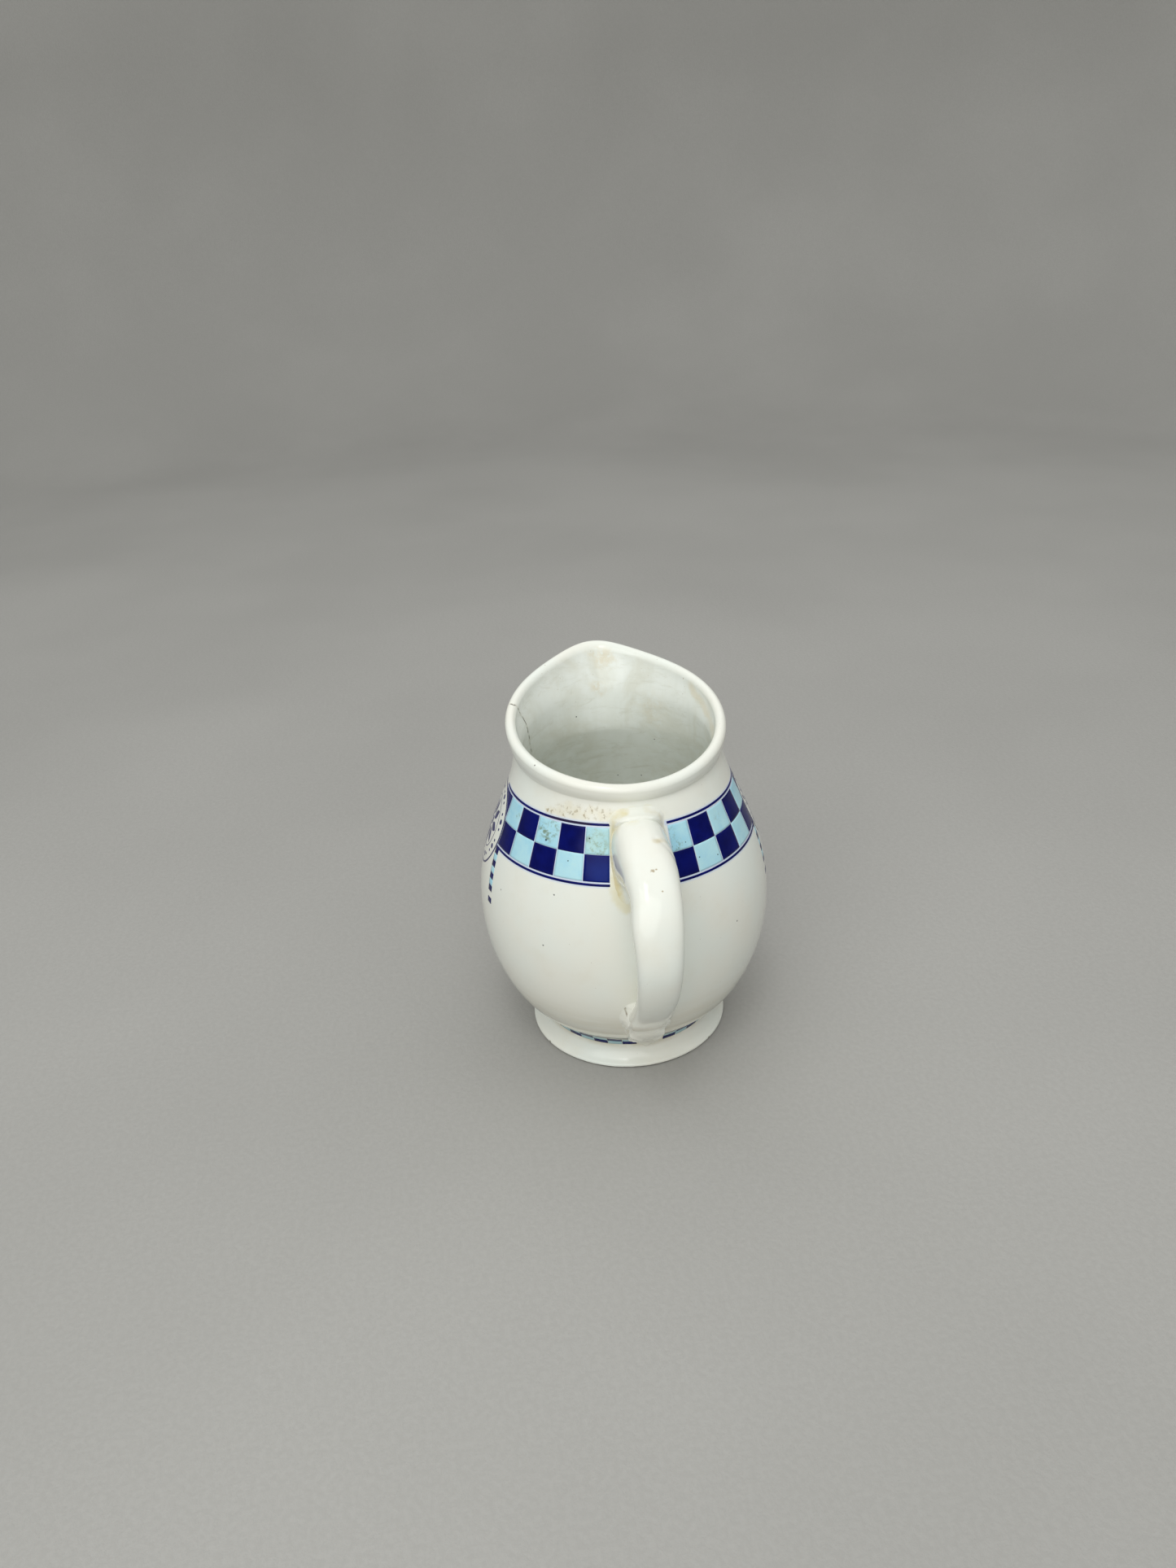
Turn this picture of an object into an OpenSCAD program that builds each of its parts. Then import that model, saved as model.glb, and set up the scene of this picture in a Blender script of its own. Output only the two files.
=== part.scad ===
// Cream jug with a printed check band, in millimetres, +Z up.
// The origin is the centre of the face that the foot stands on.
// The pouring lip points to +X and the handle to -X.
// Heights are measured on the side section; the rim tilts up from the handle to the lip.

/* [Body] */
// Height of the middle of the rim above the table
rim_z = 106.7; // [103:0.1:111]
// Largest outside radius of the belly
belly_r = 45.2; // [43:0.1:47]
// Height of the widest part of the belly
belly_z = 47.7; // [45:0.1:50]
// Outside radius of the neck
neck_r = 31; // [30:0.1:32]
// Height of the neck's narrowest ring
neck_z = 98; // [96:0.5:99]
// Outside radius of the rolled rim
rim_r = 32.4; // [31.8:0.1:33]
// Thickness of the wall at the belly and neck
wall = 3; // [2.6:0.1:3.4]
// Slope of the rim's plane, as rise per unit of length towards the lip
rim_slope = 0.247; // [0.18:0.001:0.27]

/* [Pouring lip] */
// How far the lip stands out past the round rim
lip_reach = 7.8; // [4:0.1:9]
// Angle from the lip's tip at which half of that reach is left
lip_spread = 22; // [16:1:28]
// Angle by which the lip is off the plane through the handle
lip_turn = 2; // [0:0.5:5]

/* [Foot] */
// Outside radius of the foot where it stands
foot_r = 31.7; // [30.5:0.1:33]
// Radius of the waist between belly and foot
waist_r = 28.2; // [27.2:0.1:29]
// Height of the waist
waist_z = 7; // [6.6:0.1:8]
// Depth of the recess under the jug
recess = 4.5; // [3.5:0.1:5.5]

/* [Handle] */
// Distance of the handle's outer face from the jug's axis
handle_reach = 68.6; // [66:0.1:71]
// Height at which the handle stands out furthest
handle_z = 62; // [60:1:64]
// Thickness of the handle at that height
handle_t = 8.2; // [7:0.1:9.5]
// Width of the handle near its top
handle_w = 14.6; // [13:0.1:17]
// Width of the handle near its foot
handle_low_w = 12.2; // [11:0.1:14]

/* [Printed decoration] */
// Angle that one check of the wide band takes
column = 13.05; // [12.6:0.05:13.2]
// Height of the lower edge of the checks, halfway between the left and the right strip
band_low_z = 72.6; // [71:0.1:74]
// Height of the upper edge of the checks
band_high_z = 86.8; // [85.5:0.1:87]
// How far the left strip sits above that height and the right strip below it
band_shift = 0.5; // [0:0.1:0.5]
// Width of the border lines
line_w = 0.6; // [0.5:0.05:0.6]
// Bare gap between checks and border line
line_gap = 0.45; // [0.35:0.05:0.45]
// Radius of the round medallions on both sides
medal_r = 13; // [12:0.1:13.5]
// Angle between the handle and the middle of a medallion
medal_angle = 95; // [90:1:97]
// Height of a medallion's middle
medal_z = 74.4; // [73:0.1:75]
// Thickness of a printed film above the glaze
film = 0.12; // [0.1:0.01:0.2]

/* [Hidden] */

clay = [0.90, 0.91, 0.86];
cobalt = [0.04, 0.07, 0.28];
sky = [0.68, 0.83, 0.84];

$fn = 96;
around = 64;            // facets round the body
print_depth = 0.05;     // how far a printed film reaches into the facets below it
print_gap = 0.1;        // bare glaze between neighbouring checks
shoulder_z = 88.4;      // above this height the body stops being round
floor_z = 10;           // height of the inside floor
plug_r = 24.6;          // radius of the disc that closes the foot ring

// ---- curves -------------------------------------------------------------

// Point at parameter t of the cubic curve with the four control points p
function bezier(p, t) =
    pow(1 - t, 3) * p[0] + 3 * t * pow(1 - t, 2) * p[1]
    + 3 * t * t * (1 - t) * p[2] + pow(t, 3) * p[3];

// The points of that curve in n steps, from step `first` on
function curve(p, n, first = 0) = [for (i = [first:n]) bezier(p, i / n)];

function arc(centre, r, a0, a1, n) =
    [for (i = [0:n]) let (a = a0 + (a1 - a0) * i / n) centre + r * [cos(a), sin(a)]];

// 0 below the first limit, 1 above the second, smooth between them
function ease(x, a, b) =
    let (u = max(0, min(1, (x - a) / (b - a)))) u * u * (3 - 2 * u);

// ---- the body's outline on its side section, as [radius, height] ---------

// The wall rises steeply from the waist, turns out below the belly and bulges from there on
turn_out = [waist_r + 4.2, waist_z + 5.3];
waist_curve = [[waist_r, waist_z], [waist_r + 0.6, waist_z + 1.8], turn_out - [1.8, 1.5], turn_out];
lower_curve = [turn_out, turn_out + [4.7, 3.8], [belly_r, belly_z - 18.7], [belly_r, belly_z]];
upper_curve = [
    [belly_r, belly_z],
    [belly_r, belly_z + 23.3],
    [neck_r + 1.1, neck_z - 13.8],
    [neck_r, neck_z]
];
inner_upper_curve = [
    [neck_r - wall, neck_z],
    [neck_r - wall + 1.1, neck_z - 13.8],
    [belly_r - wall, belly_z + 23.3],
    [belly_r - wall, belly_z]
];
inner_lower_curve = [
    [belly_r - wall, belly_z],
    [belly_r - wall, belly_z - 20.7],
    [waist_r + 4.8, floor_z + 3.5],
    [waist_r - 8, floor_z + 0.2]
];

// The rim is a bead: a half round between the outer and the inner wall
bead_r = (rim_r - neck_r + wall) / 2 - 0.6;
bead = [rim_r - bead_r, rim_z - bead_r];

lower_wall = concat(curve(waist_curve, 4), curve(lower_curve, 10, 1));
outer_wall = concat(lower_wall, curve(upper_curve, 14, 1));
rim_bead = arc(bead, bead_r, -30, 190, 9);
inner_wall = concat(curve(inner_upper_curve, 10), curve(inner_lower_curve, 8, 1));
under_side = [[plug_r, recess], [plug_r, waist_z]];
section = concat(under_side, outer_wall, rim_bead, inner_wall);

// The foot flares out below the waist
foot_flare = curve(
    [[waist_r, waist_z], [waist_r - 0.6, waist_z - 2.2], [foot_r - 2.8, 2.6], [foot_r, 1.2]],
    10
);

// Radius of the jug's outside at the height z, on the foot and on the body below its shoulder
function outer_r(z) = lookup(z, [for (p = concat(foot_flare, outer_wall)) [p[1], p[0]]]);

// ---- the tilted rim and the pouring lip ----------------------------------

// Share of the lip's reach at the angle a from the lip, between -180 and 180
function lip_share(a) = 1 / (1 + pow(a / lip_spread, 2));

// A point of the side section turned to the angle a, pulled out for the lip and tilted
function body_point(p, a) =
    let (
        up = max(0, (p[1] - shoulder_z) / (rim_z - shoulder_z)),
        r = p[0] + lip_reach * lip_share(a) * pow(up, 1.4),
        lift = rim_slope * r * cos(a) * ease(p[1], shoulder_z, rim_z)
    )
    [r * cos(a + lip_turn), r * sin(a + lip_turn), p[1] + lift];

// Closed skin over rings of equal length: rows of points, each ring capped at the ends
function skin_faces(rings, sides, first) = [
    for (i = [0:rings - 2])
        for (j = [0:sides - 1])
            let (
                k = (j + 1) % sides,
                a = first + i * sides,
                b = a + sides
            )
            each [[a + j, b + j, b + k], [a + j, b + k, a + k]]
];

module body() {
    rings = len(section);
    ring_points = [
        for (p = section)
            for (j = [0:around - 1])
                body_point(p, j * 360 / around - (j * 360 / around > 180 ? 360 : 0))
    ];
    points = concat([[0, 0, recess], [0, 0, floor_z]], ring_points);
    last = 2 + (rings - 1) * around;
    bottom = [for (j = [0:around - 1]) [0, 2 + j, 2 + (j + 1) % around]];
    inside = [for (j = [0:around - 1]) [1, last + (j + 1) % around, last + j]];
    color(clay)
        polyhedron(points, concat(bottom, skin_faces(rings, around, 2), inside));
}

// ---- foot ring -----------------------------------------------------------

module foot_ring() {
    edge = arc([foot_r - 0.7, 0.7], 0.7, 15, -90, 5);
    ring = [[foot_r - 4.6, 0], [foot_r - 5.6, 0.8], [plug_r, recess], [plug_r, waist_z]];
    color(clay)
        rotate_extrude()
            polygon(concat(foot_flare, edge, ring));
}

// ---- handle --------------------------------------------------------------

// Outer and inner edge of the handle in its plane, as [distance from the axis, height]
handle_in = handle_reach - handle_t;
outer_top = [[31, 91], [52, 90.5], [handle_reach, 80], [handle_reach, handle_z]];
outer_low = [[handle_reach, handle_z], [handle_reach, handle_z - 16], [48, 29], [33, 13.5]];
inner_top = [[35, 65], [46, 80], [handle_in, 77], [handle_in, handle_z]];
inner_low = [[handle_in, handle_z], [handle_in, handle_z - 12], [48, 40], [37, 25]];

corner = 0.8;           // 1 makes the strap's section an ellipse, less makes it squarer
taper = 0.12;           // share by which the strap is narrower on its inner face

// Half width of the handle at t from 0 at its top to 1 at its foot
function handle_half(t) =
    let (
        strap = handle_w + (handle_low_w - handle_w) * ease(t, 0.25, 0.85),
        top = -1.2 * (1 - ease(t, 0, 0.2)),
        spread = 3.2 * ease(t, 0.86, 1)
    )
    (strap + top + spread) / 2;

// One ring of the handle: a rounded strap section between an outer and an inner point
function handle_ring(out, inn, half, sides) = [
    for (j = [0:sides - 1])
        let (
            a = j * 360 / sides,
            u = sign(cos(a)) * pow(abs(cos(a)), corner),
            v = sign(sin(a)) * pow(abs(sin(a)), corner) * (1 - taper * (1 - u) / 2),
            c = (out + inn) / 2 + (out - inn) / 2 * u
        )
        [-c[0], half * v, c[1]]
];

module handle_solid() {
    steps = 18;
    sides = 20;
    rings = [
        for (i = [0:steps])
            let (t = i / steps)
            handle_ring(bezier(outer_top, t), bezier(inner_top, t), handle_half(t / 2), sides),
        for (i = [1:steps])
            let (t = i / steps)
            handle_ring(bezier(outer_low, t), bezier(inner_low, t), handle_half(0.5 + t / 2), sides)
    ];
    n = len(rings);
    points = [for (r = rings) each r];
    top_cap = [[for (j = [0:sides - 1]) j]];
    low_cap = [[for (j = [sides - 1:-1:0]) (n - 1) * sides + j]];
    polyhedron(points, concat(top_cap, skin_faces(n, sides, 0), low_cap));
}

// The round core that the handle and the slip stop at: the outside of belly and neck
module round_core(grow = 0) {
    wall_points = [for (p = outer_wall) [p[0] + grow, p[1]]];
    rotate_extrude()
        polygon(concat([[0, waist_z]], wall_points, [[0, neck_z]]));
}

module handle() {
    color(clay)
        difference() {
            handle_solid();
            round_core();
        }
}

// ---- slip that joins the handle to the body --------------------------------

// A pad of slip on the handle side of the body, raised over its outside.
// Its outline is drawn round circles of radius r at the corners, as [distance to the right, height]
module slip_pad(corners, r, thick) {
    intersection() {
        difference() {
            round_core(thick);
            round_core();
        }
        rotate([90, 0, -90])
            linear_extrude(height = belly_r + 5)
                hull()
                    for (c = corners)
                        translate(c)
                            circle(r);
    }
}

module slip_upper() {
    color(clay)
        difference() {
            slip_pad([[-4.2, 71.5], [4.2, 71.5], [-3.6, 87.5], [3.6, 87.5]], 4.4, 0.4);
            handle_solid();
        }
}

// The smeared tongue under the handle ends in a blunt tip
module slip_lower() {
    color(clay)
        difference() {
            slip_pad([[-3.8, 18], [3.8, 18], [-4.1, 15], [4.3, 12.8], [1, 8.4]], 1.3, 1.6);
            handle_solid();
        }
}

// ---- printed films ---------------------------------------------------------

// A film on the body between two heights and two angles, counted from the lip
module film_patch(z0, z1, a0, a1, steps = 5) {
    heights = [for (i = [0:steps]) z0 + (z1 - z0) * i / steps];
    outside = [for (z = heights) [outer_r(z) + film, z]];
    inside = [for (i = [steps:-1:0]) [outer_r(heights[i]) - print_depth, heights[i]]];
    rotate([0, 0, a0])
        rotate_extrude(angle = a1 - a0)
            polygon(concat(outside, inside));
}

// One check, drawn half a gap smaller than its cell on every side
module check(z0, z1, a0, a1, steps) {
    trim = print_gap / 2;
    turn = trim / outer_r(z0) * 180 / PI;
    film_patch(z0 + trim, z1 - trim, a0 + turn, a1 - turn, steps);
}

// Checks of one strip between the angles `edges`, all raised by `up`.
// `shade` 0 draws one colour and 1 the other
module checks(edges, shade, up) {
    low = band_low_z + up;
    high = band_high_z + up;
    middle = (low + high) / 2;
    for (i = [0:len(edges) - 2])
        if ((i + shade) % 2 == 0)
            check(low, middle, edges[i], edges[i + 1], 3);
        else
            check(middle, high, edges[i], edges[i + 1], 3);
}

module border_lines(edges, up) {
    a0 = edges[0];
    a1 = edges[len(edges) - 1];
    high = band_high_z + up + line_gap;
    low = band_low_z + up - line_gap;
    film_patch(high, high + line_w, a0, a1, 1);
    film_patch(low - line_w, low, a0, a1, 1);
}

// The round field of one medallion, as a rod across the jug; side is 1 for left and -1 for right
module medallion_rod(side, r) {
    rotate([0, 0, 180 - side * medal_angle])
        translate([20, 0, medal_z])
            rotate([0, 90, 0])
                cylinder(r = r, h = 40);
}

module outside_medallions() {
    difference() {
        children();
        medallion_rod(1, medal_r);
        medallion_rod(-1, medal_r);
    }
}

// Left is +Y. The strips beside the handle begin with a check cut narrower and end at a medallion
side_columns = 5;
left_cut = 167.1;
left_first = 155.6;
right_cut = 194.6;
right_first = 205.3;
left_edges = [for (i = [side_columns:-1:0]) left_first - i * column, left_cut];
right_edges = [right_cut, for (i = [0:side_columns]) right_first + i * column];
// The front strip runs between the medallions, with one column centred below the lip
front_columns = 11;
front_edges = [for (i = [0:front_columns]) (i - front_columns / 2) * column];

module strip(edges, shade, up, tone) {
    color(tone)
        outside_medallions()
            checks(edges, shade, up);
}

module strip_lines(edges, up) {
    color(cobalt)
        outside_medallions()
            border_lines(edges, up);
}

module band_left_dark() {
    strip(left_edges, 1, band_shift, cobalt);
}

module band_left_light() {
    strip(left_edges, 0, band_shift, sky);
}

module band_left_lines() {
    strip_lines(left_edges, band_shift);
}

module band_right_dark() {
    strip(right_edges, 0, -band_shift, cobalt);
}

module band_right_light() {
    strip(right_edges, 1, -band_shift, sky);
}

module band_right_lines() {
    strip_lines(right_edges, -band_shift);
}

module band_front_dark() {
    strip(front_edges, 0, 0, cobalt);
}

module band_front_light() {
    strip(front_edges, 1, 0, sky);
}

module band_front_lines() {
    strip_lines(front_edges, 0);
}

// ---- medallions: a ring, a ring of dots and an eight-petalled rosette -------

petals = 8;

module rosette() {
    difference() {
        circle(medal_r);
        circle(medal_r - 0.7);
    }
    for (i = [0:petals - 1])
        rotate(i * 360 / petals) {
            translate([5, 0])
                intersection() {
                    translate([0, 2.6])
                        circle(4);
                    translate([0, -2.6])
                        circle(4);
                }
            rotate(180 / petals)
                translate([9.6, 0])
                    circle(0.8, $fn = 24);
        }
    circle(1.3, $fn = 32);
}

module medallion(side) {
    color(cobalt)
        intersection() {
            film_patch(medal_z - medal_r - 1, shoulder_z + 0.4, 180 - side * (medal_angle + 30),
                180 - side * (medal_angle - 30), 12);
            rotate([0, 0, 180 - side * medal_angle])
                translate([20, 0, medal_z])
                    rotate([90, 0, 90])
                        linear_extrude(height = 40)
                            rosette();
        }
}

module medallion_left() {
    medallion(1);
}

module medallion_right() {
    medallion(-1);
}

// ---- small checks that hang beside the medallions ---------------------------

pendant_angle = 74.7;   // from the handle, and mirrored about the medallion
pendant_w = 3.3;        // degrees
pendant_check = 1.94;   // height of one check
pendant_top = 72.2;
dark_steps = [0, 2, 4, 6, 8];
light_steps = [1, 3, 5];

module pendants(steps) {
    far_angle = 2 * medal_angle - pendant_angle;
    for (a = [pendant_angle, -pendant_angle, far_angle, -far_angle])
        for (i = steps) {
            top = pendant_top - i * pendant_check;
            check(top - pendant_check, top, 180 + a - pendant_w / 2, 180 + a + pendant_w / 2, 1);
        }
}

module pendants_dark() {
    color(cobalt)
        pendants(dark_steps);
}

module pendants_light() {
    color(sky)
        pendants(light_steps);
}

// ---- small check band round the waist, open under the handle ------------------

foot_columns = 37;
foot_column = 9.27;     // degrees
foot_start = 193.73;
foot_band_z = [5.9, 7.5, 9.2];

module foot_checks(shade) {
    for (i = [0:foot_columns - 1])
        for (row = [0, 1])
            if ((i + row) % 2 == shade) {
                a = foot_start + i * foot_column;
                check(foot_band_z[row], foot_band_z[row + 1], a, a + foot_column, 2);
            }
}

module foot_band_dark() {
    color(cobalt)
        foot_checks(0);
}

module foot_band_light() {
    color(sky)
        foot_checks(1);
}

body();
foot_ring();
handle();
slip_upper();
slip_lower();
band_left_dark();
band_left_light();
band_left_lines();
band_right_dark();
band_right_light();
band_right_lines();
band_front_dark();
band_front_light();
band_front_lines();
medallion_left();
medallion_right();
pendants_dark();
pendants_light();
foot_band_dark();
foot_band_light();
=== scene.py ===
"""Cream jug: the shown pieces, their glazes and the studio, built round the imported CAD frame.

Shape code works in millimetres, with the CAD's axes: the lip points to +X, the handle to -X
and left is +Y. Meshes are written in metres.
"""

import math

import bpy
import numpy as np
from mathutils import Matrix, Vector
from mathutils.bvhtree import BVHTree


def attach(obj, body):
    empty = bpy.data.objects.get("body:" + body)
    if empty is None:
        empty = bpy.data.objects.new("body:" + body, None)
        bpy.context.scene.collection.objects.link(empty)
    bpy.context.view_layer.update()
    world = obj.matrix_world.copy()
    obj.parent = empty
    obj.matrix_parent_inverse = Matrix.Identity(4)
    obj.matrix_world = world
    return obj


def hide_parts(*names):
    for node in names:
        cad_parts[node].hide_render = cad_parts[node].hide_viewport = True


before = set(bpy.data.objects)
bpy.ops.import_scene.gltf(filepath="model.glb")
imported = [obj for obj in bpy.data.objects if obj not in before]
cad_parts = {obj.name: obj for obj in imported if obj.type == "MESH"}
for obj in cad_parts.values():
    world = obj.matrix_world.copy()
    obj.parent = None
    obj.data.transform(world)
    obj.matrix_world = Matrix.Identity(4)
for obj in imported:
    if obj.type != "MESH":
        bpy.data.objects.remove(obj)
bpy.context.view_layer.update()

MM = 0.001

# ---- the jug's measures, as in the CAD source -------------------------------------------

RIM_Z, NECK_Z, BELLY_Z, WAIST_Z, FLOOR_Z, RECESS = 106.7, 98.0, 47.7, 7.0, 10.0, 4.5
RIM_R, NECK_R, BELLY_R, WAIST_R, FOOT_R, PLUG_R = 32.4, 31.0, 45.2, 28.2, 31.7, 24.6
WALL = 3.0
RIM_SLOPE = 0.247
LIP_REACH, LIP_SPREAD, LIP_TURN = 7.8, 22.0, 2.0
SHOULDER_Z = 88.4
HANDLE_REACH, HANDLE_Z, HANDLE_T = 68.6, 62.0, 8.2
HANDLE_W, HANDLE_LOW_W = 14.6, 12.2
BEAD_R = (RIM_R - NECK_R + WALL) / 2 - 0.6
BEAD = np.array([RIM_R - BEAD_R, RIM_Z - BEAD_R])


def bezier(points, n, first=0):
    t = np.linspace(0, 1, n + 1)[first:, None]
    p = np.asarray(points, float)
    return (1 - t) ** 3 * p[0] + 3 * t * (1 - t) ** 2 * p[1] + 3 * t * t * (1 - t) * p[2] + t**3 * p[3]


def arc(centre, r, a0, a1, n):
    a = np.radians(np.linspace(a0, a1, n + 1))
    return np.asarray(centre) + r * np.c_[np.cos(a), np.sin(a)]


def ease(x, a, b):
    u = np.clip((x - a) / (b - a), 0, 1)
    return u * u * (3 - 2 * u)


turn_out = np.array([WAIST_R + 4.2, WAIST_Z + 5.3])
waist_curve = bezier([(WAIST_R, WAIST_Z), (WAIST_R + 0.6, WAIST_Z + 1.8), turn_out - [1.8, 1.5], turn_out], 14)
lower_curve = bezier([turn_out, turn_out + [4.7, 3.8], (BELLY_R, BELLY_Z - 18.7), (BELLY_R, BELLY_Z)], 64, 1)
upper_curve = bezier(
    [(BELLY_R, BELLY_Z), (BELLY_R, BELLY_Z + 23.3), (NECK_R + 1.1, NECK_Z - 13.8), (NECK_R, NECK_Z)], 84, 1
)
bead_start = arc(BEAD, BEAD_R, -10, -10, 1)[0]
neck_curve = bezier(
    [(NECK_R, NECK_Z), (NECK_R + 0.5, NECK_Z + 1.9), bead_start - [0.1, 2.6], bead_start], 18, 1
)
bead_arc = arc(BEAD, BEAD_R, -10, 180, 30)[1:]
mouth_curve = bezier(
    [bead_arc[-1], bead_arc[-1] - [0, 2.2], (NECK_R - WALL, NECK_Z + 2.6), (NECK_R - WALL, NECK_Z)], 14, 1
)
inner_upper = bezier(
    [
        (NECK_R - WALL, NECK_Z),
        (NECK_R - WALL + 1.1, NECK_Z - 13.8),
        (BELLY_R - WALL, BELLY_Z + 23.3),
        (BELLY_R - WALL, BELLY_Z),
    ],
    60,
    1,
)
inner_lower = bezier(
    [
        (BELLY_R - WALL, BELLY_Z),
        (BELLY_R - WALL, BELLY_Z - 20.7),
        (WAIST_R + 4.8, FLOOR_Z + 3.5),
        (WAIST_R - 8, FLOOR_Z + 0.2),
    ],
    44,
    1,
)
flare_curve = bezier([(WAIST_R, WAIST_Z), (WAIST_R - 0.6, WAIST_Z - 2.2), (FOOT_R - 2.8, 2.6), (FOOT_R, 1.2)], 26)

OUTER = np.vstack([flare_curve[::-1], waist_curve[1:], lower_curve, upper_curve])


def profile_r(z):
    return np.interp(z, OUTER[:, 1], OUTER[:, 0])


def profile_normal(z):
    """Outward normal of the outside's section at height z, as (radial, up)."""
    slope = (profile_r(z + 0.2) - profile_r(z - 0.2)) / 0.4
    length = np.sqrt(1 + slope**2)
    return 1 / length, -slope / length


def wall(r, z, a):
    """A point of the side section, at the angle a from the lip, with the lip, the tilt and the
    small unevenness of a piece thrown and finished by hand."""
    a = (np.asarray(a, float) + 180) % 360 - 180
    up = np.clip((z - SHOULDER_Z) / (RIM_Z - SHOULDER_Z), 0, None)
    spread = np.where(a > 0, LIP_SPREAD, LIP_SPREAD - 1.5)
    rr = r + LIP_REACH / (1 + (a / spread) ** 2) * up**1.4
    t = np.radians(a)
    rr = rr * (1 - 0.0012 * (1 + np.sin(2 * t + 0.9 + z / 40)) - 0.0008 * (1 + np.sin(3 * t + 2.1 - z / 30)))
    top = ease(z, SHOULDER_Z, RIM_Z)
    lift = RIM_SLOPE * rr * np.cos(t) * top
    lift = lift + (0.12 * np.sin(3 * t + 0.4) + 0.08 * np.sin(5 * t + 1.7)) * top
    t = t + math.radians(LIP_TURN)
    return np.stack([rr * np.cos(t), rr * np.sin(t) + 0.35 * top, z + lift], -1)


def skin_point(z, angle, h):
    """A point h above the jug's outside, at a height and at an angle counted from +X."""
    nr, nz = profile_normal(z)
    return wall(profile_r(z) + h * nr, z + h * nz, angle - LIP_TURN)


# ---- meshes -------------------------------------------------------------------------------


def outward(points, faces):
    """The faces, all turned round when they enclose a negative volume."""
    points = np.asarray(points)
    fans = np.array([(f[0], f[k], f[k + 1]) for f in faces for k in range(1, len(f) - 1)])
    a, b, c = points[fans[:, 0]], points[fans[:, 1]], points[fans[:, 2]]
    volume = np.einsum("ij,ij->i", a, np.cross(b, c)).sum()
    return faces if volume > 0 else [f[::-1] for f in faces]


def make_piece(name, points, faces, node, material):
    faces = outward(points, faces)
    mesh = bpy.data.meshes.new(name)
    mesh.from_pydata((np.asarray(points) * MM).tolist(), [], faces)
    mesh.validate()
    mesh.shade_smooth()
    piece = bpy.data.objects.new(name, mesh)
    bpy.context.scene.collection.objects.link(piece)
    mesh.materials.append(material)
    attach(piece, "root")
    if node:
        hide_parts(node)
    return piece


def strip_faces(rows, cols, first=0, wrap=True, flip=False):
    faces = []
    span = cols if wrap else cols - 1
    for i in range(rows - 1):
        for j in range(span):
            k = (j + 1) % cols
            a, b = first + i * cols, first + (i + 1) * cols
            quad = (a + j, a + k, b + k, b + j)
            faces.append(quad[::-1] if flip else quad)
    return faces


class Shell:
    """Collects closed slabs, each between an upper and a lower grid of points."""

    def __init__(self):
        self.points, self.faces, self.count = [], [], 0

    def add(self, top, bottom, wrap=False):
        rows, cols = top.shape[:2]
        n = rows * cols
        base = self.count
        self.points += [top.reshape(-1, 3), bottom.reshape(-1, 3)]
        self.faces += strip_faces(rows, cols, base, wrap)
        self.faces += strip_faces(rows, cols, base + n, wrap, True)
        edge = [(0, j) for j in range(cols)]
        if wrap:
            loops = [edge + [edge[0]], [(rows - 1, j) for j in range(cols)][::-1] + [(rows - 1, cols - 1)]]
        else:
            edge += [(i, cols - 1) for i in range(1, rows)]
            edge += [(rows - 1, j) for j in range(cols - 2, -1, -1)]
            edge += [(i, 0) for i in range(rows - 2, -1, -1)]
            loops = [edge]
        for loop in loops:
            for p, q in zip(loop[:-1], loop[1:]):
                a, b = base + p[0] * cols + p[1], base + q[0] * cols + q[1]
                self.faces.append((b, a, a + n, b + n))
        self.count += 2 * n

    def piece(self, name, node, slot, material):
        return make_piece(name, np.vstack(self.points), self.faces, node, material)


# ---- materials ------------------------------------------------------------------------------


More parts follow.
